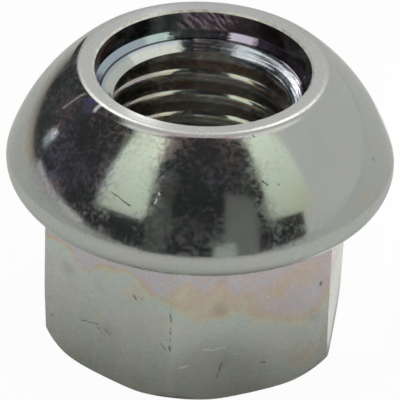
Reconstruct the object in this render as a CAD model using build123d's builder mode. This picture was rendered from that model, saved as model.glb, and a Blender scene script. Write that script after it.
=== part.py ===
from build123d import *

import os
from math import radians, sin, sqrt, tan

# Open-ended ball-seat wheel nut, M12 x 1.5, for a 17 mm socket.
#
# The nut stands on its wrench end. The origin is the centre of that end face,
# and +Z runs along the bore towards the ball seat. Lengths are in millimetres,
# angles in degrees.

# --- thread and bore ------------------------------------------------------
thread_diameter = 12.0          # M12 x 1.5, right hand
thread_pitch = 1.5
relief_clearance = 0.38         # all round, between the relief and the stud's shoulder
relief_depth = 1.35
relief_edge_chamfer = 0.12
lead_in_angle = 45              # cone from the relief in to the thread's major diameter, from the axis
throat_angle = 60               # flatter cone that a drill's point leaves, from there to the bore
back_mouth_clearance = 0.3      # the countersink at the wrench end clears the thread by this
back_mouth_angle = 45           # from the axis

# --- wrench end -----------------------------------------------------------
across_flats = 17.0
hex_edge_radius = 0.3           # soft vertical edges of a cold-formed hexagon
end_face_inset = 0.2            # the flat end face stays this far inside the flats
end_rounding_height = 1.3       # turned rounding that takes the six corners off
corner_draft = 0.36             # the corners lean in by this towards the end,
corner_draft_height = 4.0       # over this height above the rounding

# --- ball seat collar -----------------------------------------------------
height = 17.8
ball_radius = 12.0              # R12 seat, centred on the axis
rim_inset = 0.5                 # how far the widest point stays inside the ball's own radius
rim_radius = 1.5                # rolled rim, tangent to the ball
end_ring_width = 1.12           # ring where the ball is cut off, round the relief, out to the corner
end_ring_rounding = 1.1         # wide rounding from the ring to the ball

# The bore at the thread's minor diameter, its relief and its cones.
minor_radius = (thread_diameter - thread_pitch) / 2
relief_radius = thread_diameter / 2 + relief_clearance
relief_floor_z = height - relief_depth
lead_in_foot = (thread_diameter / 2, relief_floor_z - relief_clearance / tan(radians(lead_in_angle)))
throat_height = (thread_diameter / 2 - minor_radius) / tan(radians(throat_angle))
back_mouth_radius = thread_diameter / 2 + back_mouth_clearance
back_mouth_height = (back_mouth_radius - minor_radius) / tan(radians(back_mouth_angle))

# The turned form of the wrench end, from the end face out to the corners.
corner_radius = across_flats / 2 / sin(radians(60))
end_face_edge = (across_flats / 2 - end_face_inset, 0)
rounding_top = (corner_radius - corner_draft, end_rounding_height)
draft_top = (corner_radius, end_rounding_height + corner_draft_height)

# The ball's centre sits so that the sphere meets the end ring at full height.
end_ring_radius = relief_radius + end_ring_width
ball_centre_z = height - sqrt(ball_radius**2 - end_ring_radius**2)

# The rim is a circle that touches the ball from inside and reaches the collar's edge.
collar_radius = ball_radius - rim_inset
rim_centre_r = collar_radius - rim_radius
rim_centre_z = ball_centre_z + sqrt((ball_radius - rim_radius) ** 2 - rim_centre_r**2)
underside_z = rim_centre_z - rim_radius
tangent_scale = ball_radius / (ball_radius - rim_radius)
rim_start = (
    rim_centre_r * tangent_scale,
    ball_centre_z + (rim_centre_z - ball_centre_z) * tangent_scale,
)

with BuildPart() as nut:
    # Hexagonal wrench end, one corner towards -Y, run up inside the collar.
    with BuildSketch(Plane.XY):
        RegularPolygon(across_flats / 2, 6, major_radius=False, rotation=30)
    extrude(amount=rim_centre_z)
    fillet(nut.edges().filter_by(Axis.Z), hex_edge_radius)

    # The turned form leaves a flat end face, a rounding that cuts a curved
    # edge into each flat, and the slight draft of the corners above it.
    with BuildSketch(Plane.XZ):
        with BuildLine():
            Line((0, 0), end_face_edge)
            TangentArc(end_face_edge, rounding_top, tangent=(1, 0))
            Polyline(rounding_top, draft_top, (corner_radius, rim_centre_z), (0, rim_centre_z), (0, 0))
        make_face()
    revolve(axis=Axis.Z, mode=Mode.INTERSECT)

    # Collar: end ring, spherical seat, rolled rim and flat underside.
    with BuildSketch(Plane.XZ):
        with BuildLine():
            Line((0, height), (end_ring_radius, height))
            RadiusArc((end_ring_radius, height), rim_start, ball_radius)
            RadiusArc(rim_start, (rim_centre_r, underside_z), rim_radius)
            Polyline((rim_centre_r, underside_z), (0, underside_z), (0, height))
        make_face()
    revolve(axis=Axis.Z)
    end_ring_edge = nut.edges().filter_by(GeomType.CIRCLE).sort_by(Axis.Z)[-1]
    fillet(end_ring_edge, end_ring_rounding)

    # Bore at the thread's minor diameter. A relief and a lead-in of two cones
    # open it at the ball end, a countersink at the wrench end.
    with BuildSketch(Plane.XZ):
        with BuildLine():
            Polyline(
                (0, 0),
                (back_mouth_radius, 0),
                (minor_radius, back_mouth_height),
                (minor_radius, lead_in_foot[1] - throat_height),
                lead_in_foot,
                (relief_radius, relief_floor_z),
                (relief_radius, height),
                (0, height),
                close=True,
            )
        make_face()
    revolve(axis=Axis.Z, mode=Mode.SUBTRACT)
    mouth_edges = nut.edges().filter_by(GeomType.CIRCLE).group_by(Axis.Z)[-1]
    chamfer(mouth_edges.sort_by(SortBy.RADIUS)[0], relief_edge_chamfer)

nut.part.label = "lug_nut"

os.makedirs("parts", exist_ok=True)
export_step(nut.part, "parts/lug_nut.step")
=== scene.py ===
from math import atan, atan2, cos, degrees, pi, radians, sin, sqrt, tan

import bmesh
import bpy
from mathutils import Matrix, Vector


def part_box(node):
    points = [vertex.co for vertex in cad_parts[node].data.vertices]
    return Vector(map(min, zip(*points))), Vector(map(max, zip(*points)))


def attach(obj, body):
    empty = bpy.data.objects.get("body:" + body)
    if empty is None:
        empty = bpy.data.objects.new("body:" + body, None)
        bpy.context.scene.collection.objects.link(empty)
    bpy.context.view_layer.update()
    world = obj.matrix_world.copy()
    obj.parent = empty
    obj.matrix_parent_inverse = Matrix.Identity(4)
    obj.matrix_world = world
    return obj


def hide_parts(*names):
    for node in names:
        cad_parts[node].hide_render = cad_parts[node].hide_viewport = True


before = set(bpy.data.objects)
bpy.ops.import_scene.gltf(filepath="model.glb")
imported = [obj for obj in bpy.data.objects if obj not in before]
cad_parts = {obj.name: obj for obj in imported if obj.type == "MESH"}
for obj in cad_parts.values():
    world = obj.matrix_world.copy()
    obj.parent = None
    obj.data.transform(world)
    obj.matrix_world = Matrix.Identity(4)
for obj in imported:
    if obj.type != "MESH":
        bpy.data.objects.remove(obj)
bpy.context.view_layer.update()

# ---------------------------------------------------------------------------
# Wrench end. A hexagonal bar, 17 mm across flats, with soft cold-formed edges.
# Its end is turned: a flat to stand on and a rounding that cuts a curved edge
# into each flat. It is forged in one with the collar.
# ---------------------------------------------------------------------------
MM = 0.001
_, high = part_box("lug_nut")
height = high.z
collar_radius = high.x
across_flats = 17.0 * MM
corner_radius = across_flats / 2 / cos(radians(30))
rim_radius = 1.5 * MM
rim_inset = 0.5 * MM
ball_radius = collar_radius + rim_inset
end_ring_radius = 7.5 * MM
ball_centre_z = height - sqrt(ball_radius**2 - end_ring_radius**2)
rim_centre_r = collar_radius - rim_radius
rim_centre_z = ball_centre_z + sqrt((ball_radius - rim_radius) ** 2 - rim_centre_r**2)


def lathe(name, outline, material, steps=256):
    """A solid turned about the Z axis from an outline of (radius, height) that starts and ends on it."""
    bm = bmesh.new()
    verts = [bm.verts.new((r, 0, z)) for r, z in outline]
    edges = [bm.edges.new(pair) for pair in zip(verts, verts[1:])]
    bmesh.ops.spin(
        bm, geom=verts + edges, cent=(0, 0, 0), axis=(0, 0, 1), angle=2 * pi, steps=steps, use_merge=True
    )
    bmesh.ops.remove_doubles(bm, verts=bm.verts, dist=0.001 * MM)
    bmesh.ops.recalc_face_normals(bm, faces=bm.faces)
    return solid(name, bm, material)


def arc(centre, radius, start, end, steps):
    """Points of an arc in the (radius, height) plane, from one angle to another, in degrees."""
    angles = [radians(start + (end - start) * i / steps) for i in range(steps + 1)]
    return [(centre[0] + radius * cos(a), centre[1] + radius * sin(a)) for a in angles]


def solid(name, bm, material):
    mesh = bpy.data.meshes.new(name)
    bm.to_mesh(mesh)
    bm.free()
    mesh.shade_smooth()
    mesh.materials.append(material)
    made = bpy.data.objects.new(name, mesh)
    bpy.context.scene.collection.objects.link(made)
    return made


def machine(blank, tool, operation):
    """Joins the tool's solid to the blank, or takes it away, and removes the tool."""
    step = blank.modifiers.new(operation, "BOOLEAN")
    step.operation = operation
    step.object = tool
    step.solver = "EXACT"
    step.material_mode = "TRANSFER"
    done = bpy.data.meshes.new_from_object(blank.evaluated_get(bpy.context.evaluated_depsgraph_get()))
    blank.modifiers.clear()
    blank.data = done
    bpy.data.objects.remove(tool)


def node(tree, kind, sockets, **settings):
    """Adds a shader node. Each socket is given a value, or the output of another node."""
    made = tree.nodes.new("ShaderNode" + kind)
    for key, value in settings.items():
        setattr(made, key, value)
    for key, value in sockets.items():
        if isinstance(value, bpy.types.NodeSocket):
            tree.links.new(value, made.inputs[key])
        else:
            made.inputs[key].default_value = value
    return made


def maths(tree, operation, *values):
    """The output of one Math node."""
    return node(tree, "Math", dict(enumerate(values)), operation=operation).outputs["Value"]


def spread(tree, value, low, high, to_low=0.0, to_high=1.0, kind="LINEAR"):
    """The output of one Map Range node."""
    sockets = {"Value": value, "From Min": low, "From Max": high, "To Min": to_low, "To Max": to_high}
    return node(tree, "MapRange", sockets, interpolation_type=kind).outputs["Result"]


def noise(tree, position, per_mm, detail=2.0, roughness=0.5, distortion=0.0, **settings):
    """The grey output of one Noise Texture node, with its size as features per millimetre."""
    sockets = {"Vector": position, "Scale": per_mm / MM, "Detail": detail, "Roughness": roughness}
    return node(tree, "TexNoise", sockets | {"Distortion": distortion}, **settings).outputs["Fac"]


def effect(name, inputs, output, kind):
    """An empty node group. Gives it, its inputs by name, and a function that joins up its one output."""
    tree = bpy.data.node_groups.new(name, "ShaderNodeTree")
    for label, socket_kind in inputs:
        tree.interface.new_socket(name=label, in_out="INPUT", socket_type="NodeSocket" + socket_kind)
    tree.interface.new_socket(name=output, in_out="OUTPUT", socket_type="NodeSocket" + kind)
    given = tree.nodes.new("NodeGroupInput").outputs
    result = tree.nodes.new("NodeGroupOutput")
    return tree, given, lambda value: tree.links.new(value, result.inputs[output])


def use(tree, group, sockets):
    """The output of one node group placed in a material."""
    placed = node(tree, "Group", {}, node_tree=group)
    for key, value in sockets.items():
        if isinstance(value, bpy.types.NodeSocket):
            tree.links.new(value, placed.inputs[key])
        else:
            placed.inputs[key].default_value = value
    return placed.outputs[0]


def finish(name):
    """A new material. Gives the material, its tree, its shader and the position on the piece."""
    made = bpy.data.materials.new(name)
    made.use_nodes = True
    tree = made.node_tree
    return made, tree, tree.nodes["Principled BSDF"], node(tree, "TexCoord", {}).outputs["Object"]


# The clear film on the zinc, thin enough to show faint colours that change with its thickness.
film, given, give = effect(
    "clear_film",
    [("Position", "Vector"), ("Metal", "Color"), ("Thickness", "Float"), ("Patchiness", "Float"),
     ("Patches per metre", "Float"), ("Strength", "Float")],
    "Colour", "Color",
)
clouds = node(
    film, "TexNoise",
    {"Vector": given["Position"], "Scale": given["Patches per metre"], "Detail": 3, "Roughness": 0.55},
).outputs["Fac"]
uneven = maths(film, "MULTIPLY", maths(film, "SUBTRACT", clouds, 0.5), given["Patchiness"])
ramp = node(film, "ValToRGB", {"Fac": maths(film, "ADD", uneven, given["Thickness"])})
stops = ramp.color_ramp.elements
stops[0].color = (1.0, 0.96, 0.88, 1)
stops[1].color = (0.98, 0.80, 0.86, 1)
for place, colour in (
    (0.22, (0.97, 1.0, 0.92)), (0.38, (0.86, 1.0, 0.96)), (0.50, (1.0, 0.97, 0.78)),
    (0.62, (1.0, 0.80, 0.62)), (0.76, (1.0, 0.82, 0.84)), (0.88, (0.91, 0.87, 0.97)),
):
    stops.new(place).color = (*colour, 1)
give(node(
    film, "Mix", {"Factor": given["Strength"], "A": given["Metal"], "B": ramp.outputs["Color"]},
    data_type="RGBA", blend_type="MULTIPLY",
).outputs["Result"])

# Milky specks and clouds in the plating, where it went on a little rough.
haze, given, give = effect(
    "plating_haze",
    [("Position", "Vector"), ("Clouds per metre", "Float"), ("Grains per metre", "Float"), ("Clear", "Float"),
     ("Milky", "Float")],
    "Haze", "Float",
)
clouds = node(haze, "TexNoise", {
    "Vector": given["Position"], "Scale": given["Clouds per metre"], "Detail": 3, "Distortion": 0.25,
}).outputs["Fac"]
grains = node(haze, "TexNoise", {
    "Vector": given["Position"], "Scale": given["Grains per metre"], "Detail": 2, "Roughness": 0.6,
    "Distortion": 0.5,
}).outputs["Fac"]
both = maths(haze, "ADD", maths(haze, "MULTIPLY", clouds, 0.5), maths(haze, "MULTIPLY", grains, 0.5))
give(node(
    haze, "MapRange", {"Value": both, "From Min": given["Clear"], "From Max": given["Milky"]},
    interpolation_type="SMOOTHSTEP",
).outputs["Result"])

# A short scratch or knock, drawn between two points and a little ragged.
scratch, given, give = effect(
    "scratch",
    [("Position", "Vector"), ("From", "Vector"), ("To", "Vector"), ("Width", "Float")],
    "Mask", "Float",
)
ragged = node(scratch, "TexNoise", {"Vector": given["Position"], "Scale": 3.5 / MM, "Detail": 1})
shake = node(
    scratch, "VectorMath", {0: ragged.outputs["Color"], 1: (0.5, 0.5, 0.5)}, operation="SUBTRACT"
).outputs["Vector"]
shaken = node(
    scratch, "VectorMath", {0: shake, 1: (0.16 * MM,) * 3, 2: given["Position"]}, operation="MULTIPLY_ADD"
).outputs["Vector"]
reach = node(scratch, "VectorMath", {0: shaken, 1: given["From"]}, operation="SUBTRACT").outputs["Vector"]
line = node(scratch, "VectorMath", {0: given["To"], 1: given["From"]}, operation="SUBTRACT").outputs["Vector"]
along = maths(
    scratch, "DIVIDE",
    node(scratch, "VectorMath", {0: reach, 1: line}, operation="DOT_PRODUCT").outputs["Value"],
    node(scratch, "VectorMath", {0: line, 1: line}, operation="DOT_PRODUCT").outputs["Value"],
)
along = node(scratch, "Clamp", {"Value": along}).outputs["Result"]
nearest = node(scratch, "VectorMath", {0: line, "Scale": along}, operation="SCALE").outputs["Vector"]
apart = node(scratch, "VectorMath", {0: reach, 1: nearest}, operation="DISTANCE").outputs["Value"]
give(node(
    scratch, "MapRange", {"Value": apart, "From Min": given["Width"], "From Max": 0.0},
    interpolation_type="SMOOTHSTEP",
).outputs["Result"])

# Small pits scattered at random.
pits, given, give = effect(
    "pits",
    [("Position", "Vector"), ("Places per metre", "Float"), ("Radius", "Float"), ("Share", "Float")],
    "Mask", "Float",
)
cells = node(pits, "TexVoronoi", {"Vector": given["Position"], "Scale": given["Places per metre"]})
spot = node(
    pits, "MapRange", {"Value": cells.outputs["Distance"], "From Min": given["Radius"], "From Max": 0.0},
    interpolation_type="SMOOTHSTEP",
).outputs["Result"]
cell_number = node(pits, "SeparateColor", {"Color": cells.outputs["Color"]}).outputs["Red"]
chosen = maths(pits, "LESS_THAN", cell_number, given["Share"])
give(maths(pits, "MULTIPLY", spot, chosen))


def marked(tree, position, marks):
    """The mask of several scratches, each (from, to, width) in millimetres."""
    mask = None
    for start, end, width in marks:
        one = use(tree, scratch, {
            "Position": position,
            "From": [c * MM for c in start],
            "To": [c * MM for c in end],
            "Width": width * MM,
        })
        mask = one if mask is None else maths(tree, "MAXIMUM", mask, one)
    return mask


def left(along, z):
    """A point on the left front flat, from its distance to the front corner and its height, in mm."""
    return -along * cos(radians(30)), along * sin(radians(30)) - corner_radius / MM, z


def right(along, z):
    """A point on the right front flat, measured in the same way."""
    return along * cos(radians(30)), along * sin(radians(30)) - corner_radius / MM, z


def around(tree, position, centre, reach):
    """A soft round mask, full at a point of the piece and gone at a distance from it, in millimetres."""
    middle = [c * MM for c in centre]
    apart = node(tree, "VectorMath", {0: position, 1: middle}, operation="DISTANCE").outputs["Value"]
    return spread(tree, apart, reach * MM, 0.45 * reach * MM, kind="SMOOTHSTEP")


def tinted(tree, factor, colour, tint):
    """The colour, with as much of the tint mixed in as the factor says."""
    return node(tree, "Mix", {"Factor": factor, "A": colour, "B": tint}, data_type="RGBA").outputs["Result"]


def raised(tree, shader, height, depth):
    """Bumps on the surface from a height of 0 to 1, with their depth in millimetres."""
    made = node(tree, "Bump", {"Height": height, "Distance": depth * MM}).outputs["Normal"]
    tree.links.new(made, shader.inputs["Normal"])


def pooled(tree, position, thickness, pools):
    """The film's thickness, led to another value in soft round pools, each (centre, reach, thickness)."""
    for centre, reach, settled in pools:
        pool = around(tree, position, centre, reach)
        thickness = node(tree, "Mix", {"Factor": pool, "A": thickness, "B": settled}).outputs["Result"]
    return thickness


zinc_flats, tree, shader, position = finish("zinc_plate_flats")
shader.inputs["Metallic"].default_value = 1
place = node(tree, "SeparateXYZ", {"Vector": position}).outputs
# Painted shade: the flats are drawn darker towards their foot and lighter towards the rim, with random
# blotches of tone laid over it.
blotches = maths(tree, "MULTIPLY", maths(tree, "SUBTRACT", noise(tree, position, 0.9, 4, 0.6), 0.5), 0.5)
foot_shade_and_blotches = maths(tree, "ADD", spread(tree, place["Z"], 0.4 * MM, 8.4 * MM), blotches)
metal = tinted(tree, foot_shade_and_blotches, (0.60, 0.592, 0.565, 1), (0.805, 0.805, 0.795, 1))
# A round patch at the foot of the right flat, by the front corner, is drawn darker: painted shade.
painted_foot_shade = around(tree, position, right(2.3, 0.6), 5.0)
metal = tinted(tree, maths(tree, "MULTIPLY", painted_foot_shade, 0.4), metal, (0.30, 0.29, 0.27, 1))
film_foot = spread(tree, place["X"], -1.5 * MM, 3.5 * MM, 6.7 * MM, 3.0 * MM)
film_top = spread(tree, place["X"], -4 * MM, 2 * MM, 8.55 * MM, 8.9 * MM)
near_rim = maths(tree, "POWER", spread(tree, place["Z"], film_foot, film_top), 1.3)
beside_corner = maths(tree, "ABSOLUTE", maths(tree, "ADD", place["X"], 0.25 * MM))
corner_line = spread(tree, beside_corner, 0.4 * MM, 0.1 * MM)
corner_line = maths(tree, "MULTIPLY", corner_line, spread(tree, place["Z"], 2.5 * MM, 5.5 * MM, 0.08, 0.3))
metal = tinted(tree, corner_line, metal, (0.78, 0.86, 0.70, 1))
thickness = pooled(tree, position, spread(tree, near_rim, 0, 1, 0.24, 0.95), [
    (right(0.7, 8.2), 1.1, 0.60),
    (right(3.3, 7.2), 2.1, 0.61),
    (right(1.4, 6.2), 1.0, 0.56),
    (right(7.3, 7.6), 3.6, 0.80),
    (right(4.1, 8.3), 1.3, 0.86),
    (right(1.0, 4.9), 1.3, 0.40),
    (right(8.3, 2.2), 1.5, 0.62),
    (left(6.8, 8.0), 1.3, 0.88),
    (left(8.7, 6.6), 2.0, 0.30),
    (left(3.4, 7.2), 1.4, 0.40),
    (left(0.9, 8.1), 0.8, 0.82),
    (left(1.3, 6.9), 0.9, 0.38),
])
colour = use(tree, film, {
    "Position": position, "Metal": metal, "Thickness": thickness, "Patches per metre": 480,
    "Patchiness": spread(tree, near_rim, 0, 0.3, 1.3, 0.8),
    "Strength": spread(tree, near_rim, 0, 0.35, 0.4, 0.85),
})
milky = use(tree, haze, {
    "Position": position, "Clouds per metre": 600, "Grains per metre": 2400, "Clear": 0.42, "Milky": 0.66
})
knocks = marked(tree, position, [
    (left(3.05, 6.8), left(2.95, 6.7), 0.18),
    (left(2.5, 6.85), left(2.45, 6.85), 0.07),
    (left(6.85, 3.35), left(5.7, 3.6), 0.07),
    (left(5.65, 3.35), left(5.6, 3.3), 0.10),
    (left(5.15, 3.5), left(4.75, 3.25), 0.07),
    (left(9.2, 2.75), left(9.15, 2.7), 0.10),
    (left(1.0, 4.35), left(0.65, 4.1), 0.09),
    (left(0.35, 4.4), left(0.3, 4.15), 0.14),
    (left(0.3, 7.55), left(0.35, 7.4), 0.05),
    (left(0.35, 6.7), left(0.3, 6.2), 0.09),
    (left(0.3, 5.8), left(0.35, 5.6), 0.05),
    (left(0.35, 5.5), left(0.3, 5.35), 0.10),
    (left(0.3, 5.0), left(0.35, 4.85), 0.06),
    (right(3.05, 2.6), right(2.8, 1.75), 0.09),
    (right(5.6, 2.1), right(5.85, 2.0), 0.10),
    (right(9.25, 7.0), right(9.2, 6.8), 0.12),
])
# Dents, pressed in by the bumps and drawn pale cream: the pale colour is a painted highlight.
dents_with_painted_glint = marked(tree, position, [
    (right(1.8, 3.95), right(2.5, 3.7), 0.09),
    (right(2.5, 3.7), right(3.25, 3.8), 0.09),
    (right(0.25, 2.9), right(0.9, 3.0), 0.10),
])
specks = use(tree, pits, {"Position": position, "Places per metre": 900, "Radius": 0.11, "Share": 0.14})
stains = use(tree, pits, {"Position": position, "Places per metre": 420, "Radius": 0.34, "Share": 0.22})
brownish = tinted(tree, maths(tree, "MULTIPLY", stains, 0.25), colour, (0.28, 0.22, 0.17, 1))
dirt = maths(tree, "MAXIMUM", knocks, maths(tree, "MULTIPLY", specks, 0.6))
dull = tinted(tree, maths(tree, "MULTIPLY", dirt, 0.8), brownish, (0.12, 0.115, 0.09, 1))
# Pale cream in the dents, a painted highlight.
dull = tinted(tree, maths(tree, "MULTIPLY", dents_with_painted_glint, 0.55), dull, (0.98, 0.96, 0.88, 1))
tree.links.new(dull, shader.inputs["Base Color"])
tree.links.new(spread(tree, milky, 0, 1, 0.26, 0.34), shader.inputs["Roughness"])
tree.links.new(spread(tree, milky, 0, 1, 1.0, 0.96), shader.inputs["Metallic"])
drawn_out = node(tree, "Mapping", {"Vector": position, "Scale": (1, 1, 0.08)}).outputs["Vector"]
drawn = noise(tree, drawn_out, 5.0, 3)
relief = maths(tree, "SUBTRACT", maths(tree, "MULTIPLY", drawn, 0.25), maths(tree, "MAXIMUM", dirt, dents_with_painted_glint))
raised(tree, shader, relief, 0.012)

corner_softness = 0.3 * MM
bm = bmesh.new()
bmesh.ops.create_circle(bm, cap_ends=True, segments=6, radius=corner_radius)
sides = bmesh.ops.extrude_face_region(bm, geom=bm.faces[:])
top = [v for v in sides["geom"] if isinstance(v, bmesh.types.BMVert)]
bmesh.ops.translate(bm, verts=top, vec=(0, 0, rim_centre_z))
upright = [e for e in bm.edges if abs(e.verts[0].co.z - e.verts[1].co.z) > MM]
bmesh.ops.bevel(
    bm, geom=upright, offset=corner_softness * tan(radians(30)), offset_type="OFFSET", affect="EDGES",
    segments=6, profile=0.5, material=-1,
)
bmesh.ops.recalc_face_normals(bm, faces=bm.faces)
nut = solid("lug_nut_finished", bm, zinc_flats)

face_inset = 0.2 * MM
corner_draft = 0.36 * MM
draft_height = 4 * MM
rounding = 1.3 * MM
rounding_foot = across_flats / 2 - face_inset
rounding_top = corner_radius - corner_draft
turned_end = lathe(
    "turned_end",
    [(0, 0)]
    + [
        (rounding_foot + (rounding_top - rounding_foot) * sin(a), rounding * (1 - cos(a)))
        for a in [radians(90 * i / 12) for i in range(13)]
    ]
    + [(corner_radius, rounding + draft_height), (corner_radius, rim_centre_z + MM), (0, rim_centre_z + MM)],
    zinc_flats,
)
machine(nut, turned_end, "INTERSECT")

# ---------------------------------------------------------------------------
# Ball seat collar. A spherical seat of 12 mm radius, cut off by a flat end
# ring and run into a rolled rim, all turned on the forged blank.
# ---------------------------------------------------------------------------
# Fine circles left by the tool as the nut turned.
turning, given, give = effect(
    "turning_marks",
    [("Position", "Vector"), ("Lines per metre", "Float"), ("Waver", "Float")],
    "Height", "Float",
)
place = node(turning, "SeparateXYZ", {"Vector": given["Position"]}).outputs
x_squared = maths(turning, "MULTIPLY", place["X"], place["X"])
y_squared = maths(turning, "MULTIPLY", place["Y"], place["Y"])
across = maths(turning, "SQRT", maths(turning, "ADD", x_squared, y_squared))
stretched = node(turning, "CombineXYZ", {
    "X": maths(turning, "MULTIPLY", across, given["Lines per metre"]),
    "Y": maths(turning, "MULTIPLY", place["X"], given["Waver"]),
    "Z": maths(turning, "MULTIPLY", place["Y"], given["Waver"]),
}).outputs["Vector"]
up_the_axis = maths(turning, "MULTIPLY", place["Z"], given["Lines per metre"])
give(node(
    turning, "TexNoise", {"Vector": stretched, "W": up_the_axis, "Scale": 1, "Detail": 3},
    noise_dimensions="4D",
).outputs["Fac"])


def on_ball(turn, z):
    """A point on the ball, from its angle to the right of the front corner, in degrees, and its height."""
    radius = sqrt(ball_radius**2 - (z * MM - ball_centre_z) ** 2) / MM
    return radius * sin(radians(turn)), -radius * cos(radians(turn)), z


zinc_ball, tree, shader, position = finish("zinc_plate_ball")
milky = use(tree, haze, {
    "Position": position, "Clouds per metre": 500, "Grains per metre": 3800, "Clear": 0.42, "Milky": 0.68
})
circles = use(tree, turning, {"Position": position, "Lines per metre": 5000, "Waver": 250})
colour = use(tree, film, {
    "Position": position, "Metal": (0.59, 0.59, 0.57, 1), "Thickness": 0.35, "Patchiness": 0.9,
    "Patches per metre": 300, "Strength": 0.35,
})
stained = maths(
    tree, "MAXIMUM", around(tree, position, on_ball(-43, 15.8), 4.4),
    maths(tree, "MULTIPLY", around(tree, position, on_ball(7, 17), 3.4), 0.55),
)
violet = maths(tree, "MULTIPLY", stained, spread(tree, milky, 0, 1, 0.15, 1.0))
rise = node(tree, "SeparateXYZ", {"Vector": position}).outputs["Z"]
lower = spread(tree, rise, 17.4 * MM, 15.8 * MM, -0.12, 0.1)
bluish = spread(tree, maths(tree, "ADD", noise(tree, position, 0.6, 2), lower), 0.44, 0.56)
hue = tinted(tree, bluish, (0.60, 0.30, 0.36, 1), (0.36, 0.29, 0.52, 1))
stain = tinted(tree, violet, colour, hue)
inky = around(tree, position, on_ball(-50, 17.55), 0.75)
inky = maths(tree, "MULTIPLY", inky, spread(tree, milky, 0, 0.5, 0.3, 1))
stain = tinted(tree, inky, stain, (0.16, 0.11, 0.50, 1))
cuts = marked(tree, position, [
    (on_ball(-22.5, 14.7), on_ball(-15.5, 14.3), 0.06),
    (on_ball(28.2, 15.75), on_ball(30.2, 15.5), 0.06),
    (on_ball(34.2, 15.45), on_ball(34.3, 15.4), 0.06),
    (on_ball(88.5, 13.6), on_ball(89.5, 13.4), 0.06),
    (on_ball(78, 14), on_ball(78, 13.9), 0.10),
    (on_ball(29, 17.8), on_ball(29.5, 17.6), 0.06),
])
faint = marked(tree, position, [(on_ball(-61, 16.7), on_ball(-57.5, 17.75), 0.17)])
faint = maths(tree, "MULTIPLY", faint, 0.5)
# Scuffs drawn pale, bluish and matt. The largest, at the ring's edge on the left, is a painted highlight.
scuffs_and_painted_glint = marked(tree, position, [
    (on_ball(-45.6, 17.55), on_ball(-45.4, 17.8), 0.26),
    (on_ball(-6.8, 15.2), on_ball(-6.6, 15.15), 0.12),
    (on_ball(-7.1, 14.9), on_ball(-7.3, 14.7), 0.09),
])
scuffs_and_painted_glint = maths(tree, "MAXIMUM", faint, scuffs_and_painted_glint)
specks = use(tree, pits, {"Position": position, "Places per metre": 1000, "Radius": 0.10, "Share": 0.10})
dirt = maths(tree, "MAXIMUM", cuts, maths(tree, "MULTIPLY", specks, 0.5))
dull = tinted(tree, maths(tree, "MULTIPLY", dirt, 0.75), stain, (0.09, 0.085, 0.07, 1))
tree.links.new(tinted(tree, scuffs_and_painted_glint, dull, (0.85, 0.86, 0.92, 1)), shader.inputs["Base Color"])
rough = maths(tree, "MAXIMUM", spread(tree, milky, 0, 1, 0.10, 0.24), maths(tree, "MULTIPLY", scuffs_and_painted_glint, 0.4))
tree.links.new(rough, shader.inputs["Roughness"])
veiled = maths(tree, "ADD", maths(tree, "MULTIPLY", milky, 0.07), maths(tree, "MULTIPLY", violet, 0.13))
# Less metal where the pale marks are, which carry the painted highlight, and in the inky stain.
scuff_glint_and_ink_veil = maths(tree, "MAXIMUM", maths(tree, "MULTIPLY", scuffs_and_painted_glint, 0.75), maths(tree, "MULTIPLY", inky, 0.3))
veiled = maths(tree, "MAXIMUM", veiled, scuff_glint_and_ink_veil)
tree.links.new(maths(tree, "SUBTRACT", 1.0, veiled), shader.inputs["Metallic"])
ground = maths(tree, "ADD", maths(tree, "MULTIPLY", circles, 0.25), maths(tree, "MULTIPLY", milky, 0.14))
raised(tree, shader, maths(tree, "SUBTRACT", ground, dirt), 0.006)

zinc_rim, tree, shader, position = finish("zinc_plate_rim")
milky = use(tree, haze, {
    "Position": position, "Clouds per metre": 350, "Grains per metre": 3200, "Clear": 0.45, "Milky": 0.68
})
colour = use(tree, film, {
    "Position": position, "Metal": (0.70, 0.705, 0.69, 1), "Thickness": 0.3, "Patchiness": 1.6,
    "Patches per metre": 260, "Strength": 0.35,
})
specks = use(tree, pits, {"Position": position, "Places per metre": 1300, "Radius": 0.14, "Share": 0.12})
dull = tinted(tree, maths(tree, "MULTIPLY", specks, 0.5), colour, (0.15, 0.145, 0.12, 1))
tree.links.new(dull, shader.inputs["Base Color"])
tree.links.new(spread(tree, milky, 0, 1, 0.2, 0.32), shader.inputs["Roughness"])
tree.links.new(spread(tree, milky, 0, 1, 1.0, 0.92), shader.inputs["Metallic"])
raised(tree, shader, maths(tree, "SUBTRACT", maths(tree, "MULTIPLY", milky, 0.3), specks), 0.01)

zinc_ring, tree, shader, position = finish("zinc_plate_end_ring")
shader.inputs["Metallic"].default_value = 1
circles = use(tree, turning, {"Position": position, "Lines per metre": 7000, "Waver": 400})
milky = use(tree, haze, {
    "Position": position, "Clouds per metre": 700, "Grains per metre": 4500, "Clear": 0.4, "Milky": 0.7
})
specks = use(tree, pits, {"Position": position, "Places per metre": 1100, "Radius": 0.13, "Share": 0.12})
metal = tinted(tree, milky, (0.63, 0.635, 0.615, 1), (0.575, 0.58, 0.56, 1))
dull = tinted(tree, maths(tree, "MULTIPLY", specks, 0.35), metal, (0.2, 0.2, 0.17, 1))
tree.links.new(dull, shader.inputs["Base Color"])
tree.links.new(spread(tree, milky, 0, 1, 0.22, 0.3), shader.inputs["Roughness"])
raised(tree, shader, maths(tree, "SUBTRACT", maths(tree, "MULTIPLY", circles, 0.3), specks), 0.006)

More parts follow.
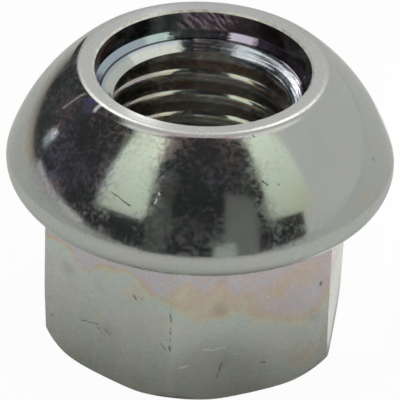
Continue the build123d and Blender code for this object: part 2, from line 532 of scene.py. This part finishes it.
seat_low = degrees(atan((rim_centre_z - ball_centre_z) / rim_centre_r))
edge_rounding = 1.1 * MM
ball_share = ball_radius - edge_rounding
edge_centre_z = height - edge_rounding
edge_centre_r = sqrt(ball_share**2 - (edge_centre_z - ball_centre_z) ** 2)
edge_angle = degrees(atan((edge_centre_z - ball_centre_z) / edge_centre_r))
collar = lathe(
    "collar",
    [(0, height)]
    + arc((edge_centre_r, edge_centre_z), edge_rounding, 90, edge_angle, 14)
    + arc((0, ball_centre_z), ball_radius, edge_angle, seat_low, 48)[1:]
    + arc((rim_centre_r, rim_centre_z), rim_radius, seat_low, -90, 24)[1:]
    + [(0, rim_centre_z - rim_radius)],
    zinc_ball,
)
collar.data.materials.append(zinc_rim)
collar.data.materials.append(zinc_ring)
rim_top = rim_centre_z + rim_radius * sin(radians(seat_low))
ring_foot = height - 0.04 * MM
for face in collar.data.polygons:
    if face.center.z < rim_top:
        face.material_index = 1
    elif face.center.z > ring_foot:
        face.material_index = 2
machine(nut, collar, "UNION")

# ---------------------------------------------------------------------------
# Bore. Drilled through, countersunk at the wrench end, with a relief and a
# 45 degree lead-in at the ball end, then tapped M12 x 1.5, right hand.
# ---------------------------------------------------------------------------
zinc_bore, tree, shader, position = finish("zinc_plate_bore")
place = node(tree, "SeparateXYZ", {"Vector": position}).outputs
circles = use(tree, turning, {"Position": position, "Lines per metre": 6500, "Waver": 220})
milky = use(tree, haze, {
    "Position": position, "Clouds per metre": 500, "Grains per metre": 2600, "Clear": 0.44, "Milky": 0.66
})
thicker = spread(tree, place["X"], -3 * MM, 3 * MM, 0.38, 0.92, "SMOOTHSTEP")
on_throat = spread(tree, place["Z"], 16.0 * MM, 15.9 * MM)
one_side = spread(tree, place["X"], -2 * MM, 2 * MM)
lead_in_metal = tinted(tree, one_side, (0.49, 0.545, 0.62, 1), (0.52, 0.42, 0.59, 1))
far_right = spread(tree, place["X"], 3.3 * MM, 4.2 * MM)
lead_in_metal = tinted(tree, far_right, lead_in_metal, (0.24, 0.215, 0.235, 1))
throat_metal = tinted(tree, one_side, (0.63, 0.66, 0.60, 1), (0.64, 0.74, 0.88, 1))
thickness = maths(tree, "SUBTRACT", thicker, maths(tree, "MULTIPLY", on_throat, 0.22))
metal = tinted(tree, on_throat, lead_in_metal, throat_metal)
colour = use(tree, film, {
    "Position": position, "Metal": metal, "Thickness": thickness, "Patchiness": 0.9,
    "Patches per metre": 420, "Strength": spread(tree, on_throat, 0, 1, 0.5, 0.12),
})
on_wall = spread(tree, place["Z"], 16.5 * MM, 16.6 * MM)
side = spread(tree, maths(tree, "ABSOLUTE", place["X"]), 5.2 * MM, 6.2 * MM, kind="SMOOTHSTEP")
browned = tinted(tree, maths(tree, "MULTIPLY", on_wall, side), colour, (0.46, 0.19, 0.13, 1))
shade = maths(tree, "MULTIPLY", on_wall, spread(tree, one_side, 0, 1, 0.4, 0.8))
dimmed = tinted(tree, shade, browned, (0.12, 0.105, 0.12, 1))
slanted = node(tree, "CombineXYZ", {
    "X": maths(tree, "MULTIPLY", maths(tree, "ADD", place["X"], place["Z"]), 2.6),
    "Y": maths(tree, "MULTIPLY", maths(tree, "SUBTRACT", place["X"], place["Z"]), 0.5),
}).outputs["Vector"]
chatter = spread(tree, noise(tree, slanted, 1.1, 4, 0.65), 0.45, 0.58)
at_back = around(tree, position, (-0.6, 6.4, 17.1), 2.4)
scored = maths(tree, "MULTIPLY", maths(tree, "MULTIPLY", on_wall, at_back), chatter)
lilac = tinted(tree, scored, dimmed, (0.78, 0.60, 0.82, 1))
# White specks on the right of the throat: painted glints, with less metal.
glints = use(tree, pits, {"Position": position, "Places per metre": 3000, "Radius": 0.3, "Share": 0.3})
sparks = maths(tree, "MULTIPLY", around(tree, position, (5.3, 2.4, 16.4), 3.0), glints)
pale = tinted(tree, sparks, lilac, (1.0, 1.0, 1.0, 1))
# A dark line drawn round the corner where the lead-in meets the throat: painted shade in the crease.
lead_in_corner_z = 16.08 * MM
off_corner = maths(tree, "ABSOLUTE", maths(tree, "SUBTRACT", place["Z"], lead_in_corner_z))
corner = spread(tree, off_corner, 0.055 * MM, 0.02 * MM, kind="SMOOTHSTEP")
painted_shade_lines = tinted(tree, maths(tree, "MULTIPLY", corner, 0.9), pale, (0.04, 0.04, 0.04, 1))
tree.links.new(painted_shade_lines, shader.inputs["Base Color"])
tree.links.new(spread(tree, milky, 0, 1, 0.08, 0.2), shader.inputs["Roughness"])
# Less metal where the haze and the scratches dull it, and at the painted glints.
dulled_and_painted_glint = maths(tree, "MAXIMUM", maths(tree, "MULTIPLY", milky, 0.08), maths(tree, "MULTIPLY", scored, 0.6))
dulled_and_painted_glint = maths(tree, "MAXIMUM", dulled_and_painted_glint, maths(tree, "MULTIPLY", sparks, 0.5))
tree.links.new(maths(tree, "SUBTRACT", 1.0, dulled_and_painted_glint), shader.inputs["Metallic"])
raised(tree, shader, maths(tree, "ADD", circles, maths(tree, "MULTIPLY", milky, 0.2)), 0.014)

# The mouth's edge break is drawn pale cream to near white: a painted highlight along the edge, over real
# burrs in its bumps.
zinc_edge, tree, shader, position = finish("zinc_plate_worn_edge_painted_glint")
shader.inputs["Metallic"].default_value = 0.5
burrs_and_glints = noise(tree, position, 2.2, 3, 0.6)
metal = tinted(tree, spread(tree, burrs_and_glints, 0.35, 0.6), (0.74, 0.69, 0.58, 1), (1.0, 0.97, 0.90, 1))
tree.links.new(metal, shader.inputs["Base Color"])
tree.links.new(spread(tree, burrs_and_glints, 0.35, 0.65, 0.3, 0.5), shader.inputs["Roughness"])
raised(tree, shader, burrs_and_glints, 0.008)

minor_radius = 5.25 * MM
major_radius = 6.0 * MM
relief_radius = 6.38 * MM
relief_depth = 1.35 * MM
relief_floor_z = height - relief_depth
mouth_radius = 6.3 * MM
past = 1 * MM
edge_break = 0.12 * MM
lead_in_foot = relief_floor_z - (relief_radius - major_radius)
throat_foot = lead_in_foot - (major_radius - minor_radius) * tan(radians(30))
drill = lathe(
    "drill",
    [
        (0, -past),
        (mouth_radius + past, -past),
        (minor_radius, mouth_radius - minor_radius),
        (minor_radius, throat_foot),
        (major_radius, lead_in_foot),
        (relief_radius, relief_floor_z),
        (relief_radius, height - edge_break),
        (relief_radius + edge_break + past, height + past),
        (0, height + past),
    ],
    zinc_bore,
)
drill.data.materials.append(zinc_edge)
for face in drill.data.polygons:
    if face.center.z > height - edge_break:
        face.material_index = 1
machine(nut, drill, "DIFFERENCE")

# ---------------------------------------------------------------------------
# Thread. M12 x 1.5, right hand, cut with a tap through the whole bore, so
# its flanks carry the tap's fine rings. The crests wear round on top.
# ---------------------------------------------------------------------------
zinc_thread, tree, shader, position = finish("zinc_plate_thread")
circles = use(tree, turning, {"Position": position, "Lines per metre": 7000, "Waver": 150})
milky = use(tree, haze, {
    "Position": position, "Clouds per metre": 400, "Grains per metre": 2400, "Clear": 0.44, "Milky": 0.68
})
place = node(tree, "SeparateXYZ", {"Vector": position}).outputs
first_turn = spread(tree, place["Z"], 14.9 * MM, 15.4 * MM)
to_the_right = maths(tree, "MULTIPLY", first_turn, spread(tree, place["X"], -1 * MM, 2 * MM))
torn = maths(tree, "MULTIPLY", first_turn, around(tree, position, (5.0, 2.9, 15.8), 4.8))
# On the first turn, to the right, the tap's rings are drawn white and near black by turns: painted glints and
# painted shade on the torn metal.
painted_glint_rings = maths(tree, "MULTIPLY", torn, spread(tree, circles, 0.49, 0.56))
painted_shade_rings = maths(tree, "MULTIPLY", torn, spread(tree, circles, 0.49, 0.44))
ringed = maths(tree, "ADD", maths(tree, "MULTIPLY", maths(tree, "SUBTRACT", circles, 0.5), 2.2), 0.55)
metal = tinted(tree, to_the_right, (0.60, 0.60, 0.595, 1), (0.60, 0.69, 0.80, 1))
colour = use(tree, film, {
    "Position": position, "Metal": metal, "Thickness": ringed, "Patchiness": 1.2, "Patches per metre": 420,
    "Strength": spread(tree, to_the_right, 0, 1, 0.85, 0.3),
})
# Near-black rings, painted shade.
painted_shade_lines = tinted(tree, maths(tree, "MULTIPLY", painted_shade_rings, 0.9), colour, (0.06, 0.055, 0.065, 1))
tree.links.new(tinted(tree, painted_glint_rings, painted_shade_lines, (1.0, 1.0, 1.0, 1)), shader.inputs["Base Color"])
rough = maths(tree, "ADD", spread(tree, milky, 0, 1, 0.12, 0.26), maths(tree, "MULTIPLY", torn, 0.08))
tree.links.new(rough, shader.inputs["Roughness"])
# Less metal where the haze is and at the painted glints.
dulled_and_painted_glint = maths(tree, "ADD", maths(tree, "MULTIPLY", milky, 0.08), maths(tree, "MULTIPLY", painted_glint_rings, 0.35))
tree.links.new(maths(tree, "SUBTRACT", 1.0, dulled_and_painted_glint), shader.inputs["Metallic"])
rings = maths(tree, "MULTIPLY", circles, spread(tree, torn, 0, 1, 1.0, 2.5))
raised(tree, shader, maths(tree, "ADD", rings, maths(tree, "MULTIPLY", milky, 0.2)), 0.012)

pitch = 1.5 * MM
turns = 15
steps_per_turn = 120
thread_start = -3.24 * MM
depth = major_radius - minor_radius
flank_rise = depth * tan(radians(30))
root_flat = pitch / 8
crest_flat = pitch - root_flat - 2 * flank_rise
crest_rounding = 0.55 * MM
crest_corner = crest_flat - crest_rounding * tan(radians(30))
outline = (
    [(minor_radius, 0)]
    + arc((minor_radius + crest_rounding, crest_corner), crest_rounding, 180, 120, 5)
    + [
        (major_radius, crest_flat + flank_rise),
        (major_radius, crest_flat + flank_rise + root_flat),
        (minor_radius, pitch),
    ]
)
bm = bmesh.new()
verts = [bm.verts.new((r, 0, thread_start + z)) for r, z in outline]
edges = [bm.edges.new(pair) for pair in zip(verts, verts[1:])]
bmesh.ops.spin(
    bm, geom=verts + edges, cent=(0, 0, 0), axis=(0, 0, 1), dvec=(0, 0, pitch / steps_per_turn),
    angle=2 * pi * turns, steps=turns * steps_per_turn,
)
bmesh.ops.remove_doubles(bm, verts=bm.verts, dist=0.001 * MM)
# Close to the throat the crest's rounding fades out, so the first turn meets the cone with a plain edge.
crest_top = minor_radius + 0.6 * crest_rounding
for v in bm.verts:
    radius = v.co.xy.length
    if minor_radius < radius < crest_top and v.co.z > throat_foot - 0.45 * MM:
        up_the_turn = (v.co.z - thread_start - pitch * atan2(v.co.y, v.co.x) / (2 * pi)) % pitch
        plain = max(minor_radius, minor_radius + (up_the_turn - crest_flat) / tan(radians(30)))
        kept = max(0.0, min(1.0, (throat_foot - 0.1 * MM - v.co.z) / (0.35 * MM)))
        v.co.xy *= (plain + (radius - plain) * kept) / radius
overrun = 0.4 * MM
for cut_z, normal in ((-overrun, -1), (height + overrun, 1)):
    geom = bm.verts[:] + bm.edges[:] + bm.faces[:]
    cut = bmesh.ops.bisect_plane(
        bm, geom=geom, dist=0.0001 * MM, plane_co=(0, 0, cut_z), plane_no=(0, 0, normal), clear_outer=True
    )
    rim = [e for e in cut["geom_cut"] if isinstance(e, bmesh.types.BMEdge)]
    bmesh.ops.contextual_create(bm, geom=rim)
bmesh.ops.recalc_face_normals(bm, faces=bm.faces)
tap = solid("tap", bm, zinc_thread)
machine(nut, tap, "DIFFERENCE")

soft_edge_limit = radians(12.5)
nut.data.set_sharp_from_angle(angle=soft_edge_limit)
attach(nut, "root")
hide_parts("lug_nut")

# ---------------------------------------------------------------------------
# Stage. A pale table in a white tent. On the camera's side the tent is dark
# and has two tall windows, which show as bright panels in the polished ball.
# ---------------------------------------------------------------------------
camera_azimuth = radians(6.5)
tent_radius = 0.5


def direction(azimuth, elevation):
    """Unit vector from the nut, azimuth in degrees to the right of the camera, elevation above the table."""
    a, e = radians(azimuth) + camera_azimuth, radians(elevation)
    return Vector((sin(a) * cos(e), -cos(a) * cos(e), sin(e)))


def glowing(tree, shader, colour, strength):
    """Puts a plain glow in the place of a material's shader."""
    tree.nodes.remove(shader)
    glow = node(tree, "Emission", {"Color": (*colour, 1), "Strength": strength})
    tree.links.new(glow.outputs["Emission"], tree.nodes["Material Output"].inputs["Surface"])


def light_material(name, colour, low, high):
    """A glow that goes evenly from one strength at 0.1 m above the table to another at 0.45 m."""
    made, tree, shader, position = finish(name)
    rise = node(tree, "SeparateXYZ", {"Vector": position}).outputs["Z"]
    glowing(tree, shader, colour, spread(tree, rise, 0.1, 0.45, low, high))
    return made


def sheet(name, points, material):
    """A flat sheet that lights the nut and shows in it, but neither shows itself nor throws a shadow."""
    bm = bmesh.new()
    bm.faces.new([bm.verts.new(point) for point in points])
    made = solid(name, bm, material)
    made.visible_camera = False
    made.visible_shadow = False


def panel(name, corners, colour, low, high=None, distance=tent_radius):
    """A sheet of the tent, hung by its corners, each an (azimuth, elevation) seen from the nut."""
    points = [direction(*corner) * distance for corner in corners]
    sheet(name, points, light_material(name, colour, low, low if high is None else high))


dark = (0.9, 0.95, 1.0)
grey = (0.97, 1.0, 0.98)
window_light = (0.90, 1.0, 0.84)
back_light = (1.0, 0.98, 0.91)
front_corners = [
    (-31, 1), (40, 1), (42, 50), (55, 66), (105, 76), (180, 82), (-105, 78), (-60, 72), (-37, 60),
]
panel("dark_front", front_corners, dark, 0.03)
panel("grey_left", [(-29, 0.5), (-16, 0.5), (-17, 44), (-31, 46)], grey, 0.08, 0.04, distance=0.38)
panel("grey_right", [(14, 0.5), (34, 0.5), (37, 46), (19, 44)], grey, 0.18, 0.08, distance=0.38)
panel("pale_card", [(8, 0.5), (22, 0.5), (21, 10), (10, 10)], (0.88, 1.0, 0.93), 0.43, distance=0.34)
panel("dark_front_left", [(-66, 1.5), (-30, 1.5), (-28, 18), (-64, 14)], dark, 0.03)
panel("dark_front_right", [(34, 1.5), (62, 1.5), (63, 14), (34, 18)], dark, 0.035)
panel("dark_left_near", [(-112, 2.5), (-60, 3.5), (-68, 58), (-106, 50)], dark, 0.028, distance=0.49)
far_corners = [(-164, -1), (-110, -1), (-100, 57), (-126, 61), (-150, 56), (-160, 30)]
panel("dark_left_far", far_corners, dark, 0.045, distance=0.49)
left_corners = [(-61.5, 14), (-30.5, 20), (-40, 67), (-72, 60)]
panel("window_left", left_corners, window_light, 0.59, 1.36, distance=0.44)
right_corners = [(28.5, 19), (70, 12), (82, 60), (38, 66)]
panel("window_right", right_corners, window_light, 0.59, 1.23, distance=0.44)
lamp_corners = [(-116, 6.5), (-110.5, 7), (-110, 12), (-115.5, 12)]
panel("small_lamp", lamp_corners, (0.85, 0.97, 1.0), 0.45, distance=0.34)
lamp_top_corners = [(-115.5, 12), (-110, 12), (-109.5, 16), (-113, 15)]
panel("small_lamp_top", lamp_top_corners, (0.93, 1.0, 0.96), 1.2, distance=0.34)
over_left_corners = [(-118, 62), (-100, 59), (-72, 60), (-85, 78), (-118, 78)]
panel("over_left", over_left_corners, (1, 0.99, 0.95), 0.95, distance=0.44)
over_right_corners = [(72, 60), (98, 53), (115, 49), (132, 50), (125, 78), (85, 78)]
panel("over_right", over_right_corners, (1, 0.99, 0.97), 0.95, distance=0.47)
for side, name in ((-1, "back_lamp_left"), (1, "back_lamp_right")):
    back_corners = [(162, 40), (173, 41), (174, 52), (163, 54), (154, 47)]
    panel(name, [(side * a, e) for a, e in back_corners], back_light, 2.6, distance=0.44)

# A mat behind the nut to the left, darker the further it lies from the nut.
mat_cloth, tree, shader, position = finish("dark_mat")
away = node(tree, "VectorMath", {0: position}, operation="LENGTH").outputs["Value"]
glowing(tree, shader, (1.0, 0.93, 0.84), spread(tree, away, 0.10, 0.36, 0.47, 0.09))
mat_corners = [(-112, 0.11), (-135, 0.09), (-165, 0.10), (-160, 0.6), (-112, 0.6)]
sheet("dark_mat", [direction(a, 0) * d + Vector((0, 0, MM)) for a, d in mat_corners], mat_cloth)

# A white card lies on the table beside the nut, and a narrow strip lamp hangs close above it.
card_corners = [(8.7, -2, 0.3), (11, -2, 0.3), (15, 32, 0.3), (8.7, 32, 0.3)]
card_light = light_material("back_card", (1.0, 1.0, 0.97), 0.86, 0.86)
sheet("back_card", [Vector(corner) * MM for corner in card_corners], card_light)
strip_top = Vector((-4.8, 8.85, 26.9)) * MM
strip_foot = Vector((-3.9, 11.7, 22.8)) * MM
half_width = Vector((0.55, 0.3, 0.3)) * MM
strip_corners = [
    strip_top - half_width, strip_top + half_width, strip_foot + half_width, strip_foot - half_width,
]
sheet("strip_lamp", strip_corners, light_material("strip_lamp", (0.97, 0.97, 1.0), 5.0, 5.0))

# The table's paper is matt. To the camera alone it is nearly all glow, so that it reads as white.
table_drop = 0.02 * MM
table_glow = 0.96
table_top = bmesh.new()
bmesh.ops.create_grid(table_top, x_segments=1, y_segments=1, size=1.5)
bmesh.ops.translate(table_top, verts=table_top.verts, vec=(0, 0, -table_drop))
paper, tree, shader, _ = finish("table_paper")
solid("table", table_top, paper)
shader.inputs["Base Color"].default_value = (0.74, 0.74, 0.73, 1)
shader.inputs["Roughness"].default_value = 0.9
shader.inputs["Specular IOR Level"].default_value = 0.1
share = maths(tree, "MULTIPLY", node(tree, "LightPath", {}).outputs["Is Camera Ray"], table_glow)
bright = node(tree, "Emission", {}).outputs["Emission"]
blend = node(tree, "MixShader", {"Fac": share, 1: shader.outputs["BSDF"], 2: bright}).outputs["Shader"]
tree.links.new(blend, tree.nodes["Material Output"].inputs["Surface"])

world = bpy.data.worlds.new("tent")
bpy.context.scene.world = world
world.use_nodes = True
tree = world.node_tree
tent = tree.nodes["Background"]
tent.inputs["Color"].default_value = (0.98, 0.99, 1.0, 1)
for_camera = node(tree, "LightPath", {}).outputs["Is Camera Ray"]
tree.links.new(spread(tree, for_camera, 0, 1, 0.61, 1.0), tent.inputs["Strength"])

top_light = bpy.data.lights.new("top_light", "AREA")
top_light.shape = "DISK"
top_light.size = 0.6
top_light.energy = 1.9
top_lamp = bpy.data.objects.new("top_light", top_light)
top_lamp.location = (-0.14, -0.12, 0.6)
top_lamp.visible_glossy = False
bpy.context.scene.collection.objects.link(top_lamp)
bpy.context.scene.view_settings.view_transform = "Standard"

# ---------------------------------------------------------------------------
# Camera. A long lens a quarter of a metre away, which looks down on the nut
# from just beside its front corner and is rolled a little to one side.
# ---------------------------------------------------------------------------
camera_elevation = radians(33.68)
camera_distance = 242.4 * MM
camera_roll = radians(2.07)
camera_data = bpy.data.cameras.new("camera")
camera_data.sensor_width = 36
camera_data.lens = 364.7
camera_data.clip_start = 0.01
camera = bpy.data.objects.new("camera", camera_data)
bpy.context.scene.collection.objects.link(camera)
back = direction(0, degrees(camera_elevation))
camera.location = Vector((0, 0, 8.05 * MM)) + back * camera_distance
aside = 0.085 * MM
camera_target = Vector((aside * cos(camera_azimuth), aside * sin(camera_azimuth), 8.43 * MM))
camera.rotation_mode = "QUATERNION"
look = (camera_target - camera.location).to_track_quat("-Z", "Y")
camera.rotation_quaternion = look @ Matrix.Rotation(camera_roll, 4, "Z").to_quaternion()
bpy.context.scene.camera = camera
